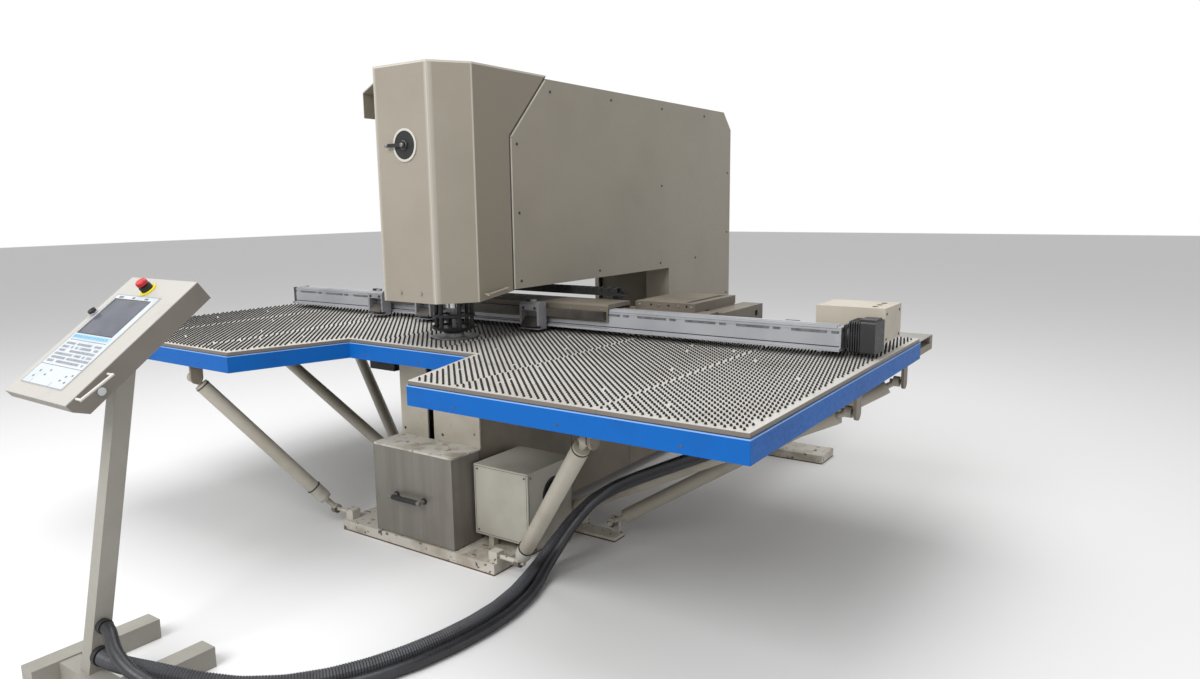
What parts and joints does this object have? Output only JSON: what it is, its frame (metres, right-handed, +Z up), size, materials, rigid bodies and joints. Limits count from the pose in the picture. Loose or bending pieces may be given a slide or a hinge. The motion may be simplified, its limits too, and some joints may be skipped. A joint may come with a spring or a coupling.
{
  "type": "cnc turret punch press",
  "caption": "C-frame CNC sheet punching machine with hydraulic ram, turning tool, brush tables, travelling clamp gauge, slug drawer and separate control console.",
  "frame": {"origin": "on the punch axis at floor level", "axes": "+X the operator's right, +Y from the operator toward the column, +Z up"},
  "size_m": [3.834, 4.3, 2.212],
  "materials": {
    "taupe_paint": "satin",
    "cream_paint": "satin",
    "white_paint": "chipped satin",
    "frame_paint": "satin",
    "rail_blue": "gloss",
    "board": "white laminate",
    "brush": "matte",
    "bare_steel": "brushed",
    "blackened_steel": "blackened",
    "beam_aluminium": "satin",
    "black_paint": "satin",
    "black_plastic": "matte",
    "belt_rubber": "matte",
    "conduit_grey": "matte",
    "chrome_plate": "polished",
    "red_plastic": "gloss"
  },
  "bodies": {
    "frame": {"base_plates": "white_paint", "c_frame": "taupe_paint", "ram_cylinder": "bare_steel", "valve_block": "black_paint", "rotation_motors": "black_paint", "timing_belts": "belt_rubber", "arm_panel_right": "taupe_paint", "arm_panel_left": "taupe_paint", "arm_top_cover": "taupe_paint", "throat_cover": "cream_paint", "lower_front_cover": "cream_paint", "drawer_lid": "white_paint", "slug_chute": "bare_steel", "cooler_box": "cream_paint", "fan_guard": "black_paint", "table_rails": "rail_blue", "table_frames": "frame_paint", "table_boards": "board", "brush_rows": "brush", "rear_plates": "bare_steel", "front_struts": "cream_paint", "side_struts": "cream_paint", "y_guides": "bare_steel", "y_motor": "black_paint", "switch_box": "black_plastic", "cable_glands": "black_plastic", "conduit_main": "conduit_grey", "conduit_second": "conduit_grey", "console_stand": "cream_paint", "console_case": "cream_paint"},
    "saddle": {"saddle_frame": "taupe_paint", "saddle_plates": "taupe_paint", "x_beam": "beam_aluminium", "x_motor": "black_paint", "x_drive_box": "cream_paint", "energy_chain": "black_plastic"},
    "carriage": {"carriage_cover": "taupe_paint", "clamp_bar": "bare_steel", "clamp_bodies": "blackened_steel"},
    "jaw_1": {"clamp_jaw_1": "bare_steel"},
    "jaw_2": {"clamp_jaw_2": "bare_steel"},
    "jaw_3": {"clamp_jaw_3": "bare_steel"},
    "x_screw": {"x_screw": "bare_steel"},
    "y_screw": {"y_screw": "bare_steel"},
    "spindle": {"tool_holder": "blackened_steel"},
    "ram": {"ram_piston": "chrome_plate", "punch": "bare_steel"},
    "lower_tool": {"die_holder": "bare_steel", "die": "bare_steel"},
    "upper_drive": {"upper_pinion": "bare_steel"},
    "lower_drive": {"lower_pinion": "bare_steel"},
    "hood": {"hood_shell": "taupe_paint"},
    "dial": {"dial_lever": "black_plastic"},
    "drawer": {"slug_drawer": "bare_steel"},
    "fan": {"fan_rotor": "black_plastic"},
    "console_lid": {"console_panel": "cream_paint", "console_controls": "black_plastic"},
    "estop": {"estop_button": "red_plastic"},
    "knob": {"override_knob": "black_plastic"},
    "lock": {"key_lock": "chrome_plate"}
  },
  "joints": [
    {"name": "y_slide", "type": "slide", "parent": "frame", "child": "saddle", "axis": [0, 1, 0], "range_m": [-0.1, 0.85]},
    {"name": "x_slide", "type": "slide", "parent": "saddle", "child": "carriage", "axis": [1, 0, 0], "range_m": [-0.9, 0.95]},
    {"name": "jaw_1_close", "type": "hinge", "parent": "carriage", "child": "jaw_1", "pos_m": [-0.895, 0.323, 1.041], "axis": [1, 0, 0], "range_deg": [0, 8]},
    {"name": "jaw_2_close", "type": "hinge", "parent": "carriage", "child": "jaw_2", "pos_m": [-0.515, 0.323, 1.041], "axis": [1, 0, 0], "range_deg": [0, 8]},
    {"name": "jaw_3_close", "type": "hinge", "parent": "carriage", "child": "jaw_3", "pos_m": [0.23, 0.323, 1.041], "axis": [1, 0, 0], "range_deg": [0, 8]},
    {"name": "x_screw_spin", "type": "hinge", "parent": "saddle", "child": "x_screw", "pos_m": [0, 0.467, 1.06], "axis": [1, 0, 0], "continuous": true},
    {"name": "y_screw_spin", "type": "hinge", "parent": "frame", "child": "y_screw", "pos_m": [0.79, 0.5, 0.77], "axis": [0, 1, 0], "continuous": true},
    {"name": "tool_rotation", "type": "hinge", "parent": "frame", "child": "spindle", "pos_m": [0, 0, 1.2], "axis": [0, 0, 1], "continuous": true},
    {"name": "ram_stroke", "type": "slide", "parent": "spindle", "child": "ram", "axis": [0, 0, -1], "range_m": [0, 0.04]},
    {"name": "die_rotation", "type": "hinge", "parent": "frame", "child": "lower_tool", "pos_m": [0, 0, 0.9], "axis": [0, 0, 1], "continuous": true},
    {"name": "upper_pinion_spin", "type": "hinge", "parent": "frame", "child": "upper_drive", "pos_m": [0, 0.33, 1.22], "axis": [0, 0, 1], "continuous": true},
    {"name": "lower_pinion_spin", "type": "hinge", "parent": "frame", "child": "lower_drive", "pos_m": [0, 0.33, 0.82], "axis": [0, 0, 1], "continuous": true},
    {"name": "hood_hinge", "type": "hinge", "parent": "frame", "child": "hood", "pos_m": [-0.285, 0.123, 1.6], "axis": [0, 0, -1], "range_deg": [0, 90]},
    {"name": "dial_turn", "type": "hinge", "parent": "hood", "child": "dial", "pos_m": [0.02, -0.28, 1.865], "axis": [0, 1, 0], "range_deg": [-90, 90]},
    {"name": "drawer_slide", "type": "slide", "parent": "frame", "child": "drawer", "axis": [0, -1, 0], "range_m": [0, 0.25]},
    {"name": "fan_spin", "type": "hinge", "parent": "frame", "child": "fan", "pos_m": [0.56, -0.0045, 0.297], "axis": [1, 0, 0], "continuous": true},
    {"name": "console_lid_hinge", "type": "hinge", "parent": "frame", "child": "console_lid", "pos_m": [-0.28, -1.793, 1.025], "axis": [0, -0.7986, -0.6018], "range_deg": [0, 100]},
    {"name": "estop_press", "type": "slide", "parent": "console_lid", "child": "estop", "axis": [0, 0.6018, -0.7986], "range_m": [0, 0.006], "stiffness_N_per_m": 500},
    {"name": "knob_turn", "type": "hinge", "parent": "console_lid", "child": "knob", "pos_m": [-0.262, -1.5015, 1.24466], "axis": [0, -0.6018, 0.7986], "range_deg": [-135, 135]},
    {"name": "lock_turn", "type": "hinge", "parent": "frame", "child": "lock", "pos_m": [0.14, -1.689, 1.05], "axis": [1, 0, 0], "range_deg": [0, 90]}
  ],
  "couplings": [
    {"joint": "jaw_2_close", "follows": "jaw_1_close", "ratio": 1},
    {"joint": "jaw_3_close", "follows": "jaw_1_close", "ratio": 1},
    {"joint": "x_screw_spin", "follows": "x_slide", "rad_per_m": 157.08},
    {"joint": "y_screw_spin", "follows": "y_slide", "rad_per_m": 157.08},
    {"joint": "die_rotation", "follows": "tool_rotation", "ratio": 1},
    {"joint": "upper_pinion_spin", "follows": "tool_rotation", "ratio": 3},
    {"joint": "lower_pinion_spin", "follows": "tool_rotation", "ratio": 3}
  ]
}
